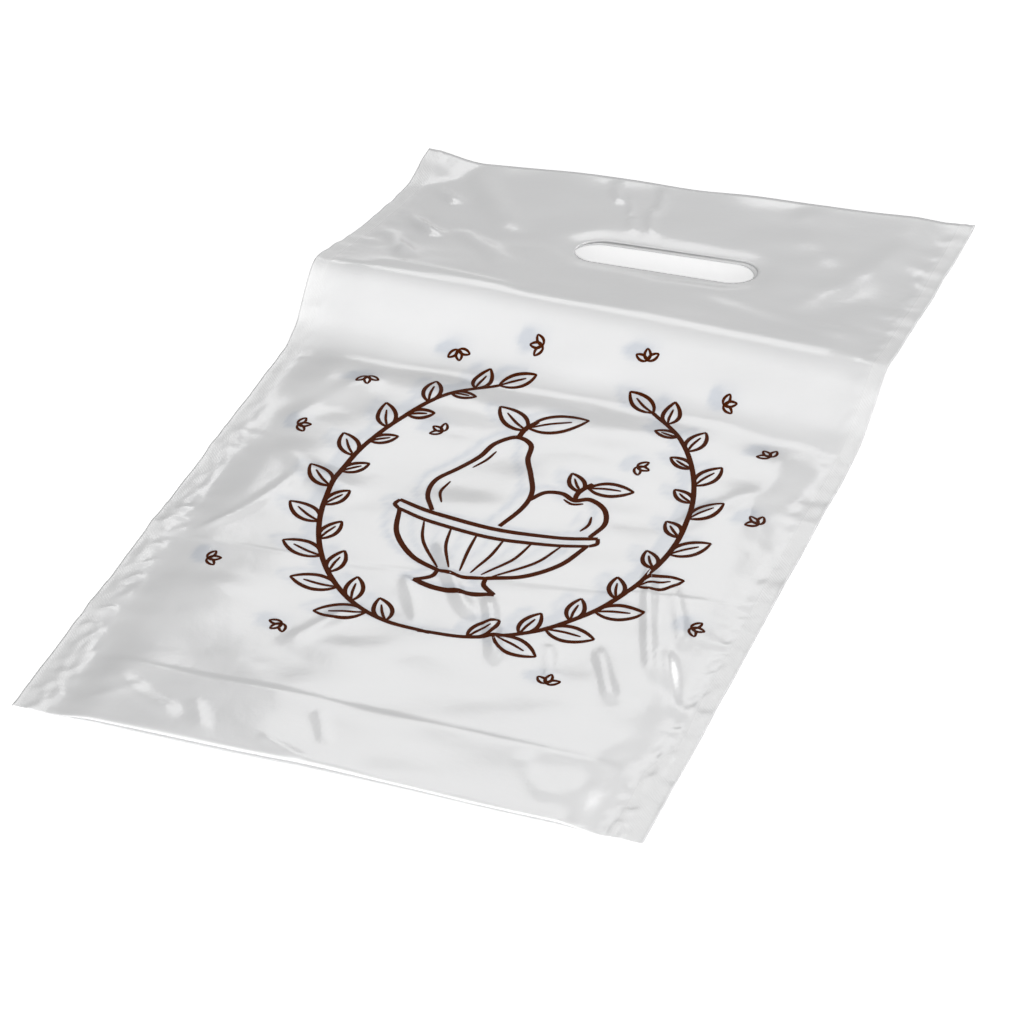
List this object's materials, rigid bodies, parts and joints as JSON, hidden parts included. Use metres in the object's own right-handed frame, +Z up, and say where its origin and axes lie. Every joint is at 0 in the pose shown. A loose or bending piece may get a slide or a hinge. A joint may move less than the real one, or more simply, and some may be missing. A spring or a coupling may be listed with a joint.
{
  "type": "plastic carrier bag",
  "caption": "Flat white plastic film carrier bag with a punched grip slot, welded sides, a tucked-in bottom gusset and a fold ridge across it.",
  "frame": {"origin": "under the middle of the bag, on the surface that it lies on", "axes": "+X across the bag, +Y from the bottom folds to the mouth, +Z up"},
  "size_m": [0.3, 0.5122, 0.0298],
  "materials": {
    "film": "glossy white film, thin enough to let a little light through, with a dark brown printed design on the upper panel"
  },
  "bodies": {
    "root": {"carrier_bag": "film"}
  },
  "joints": []
}
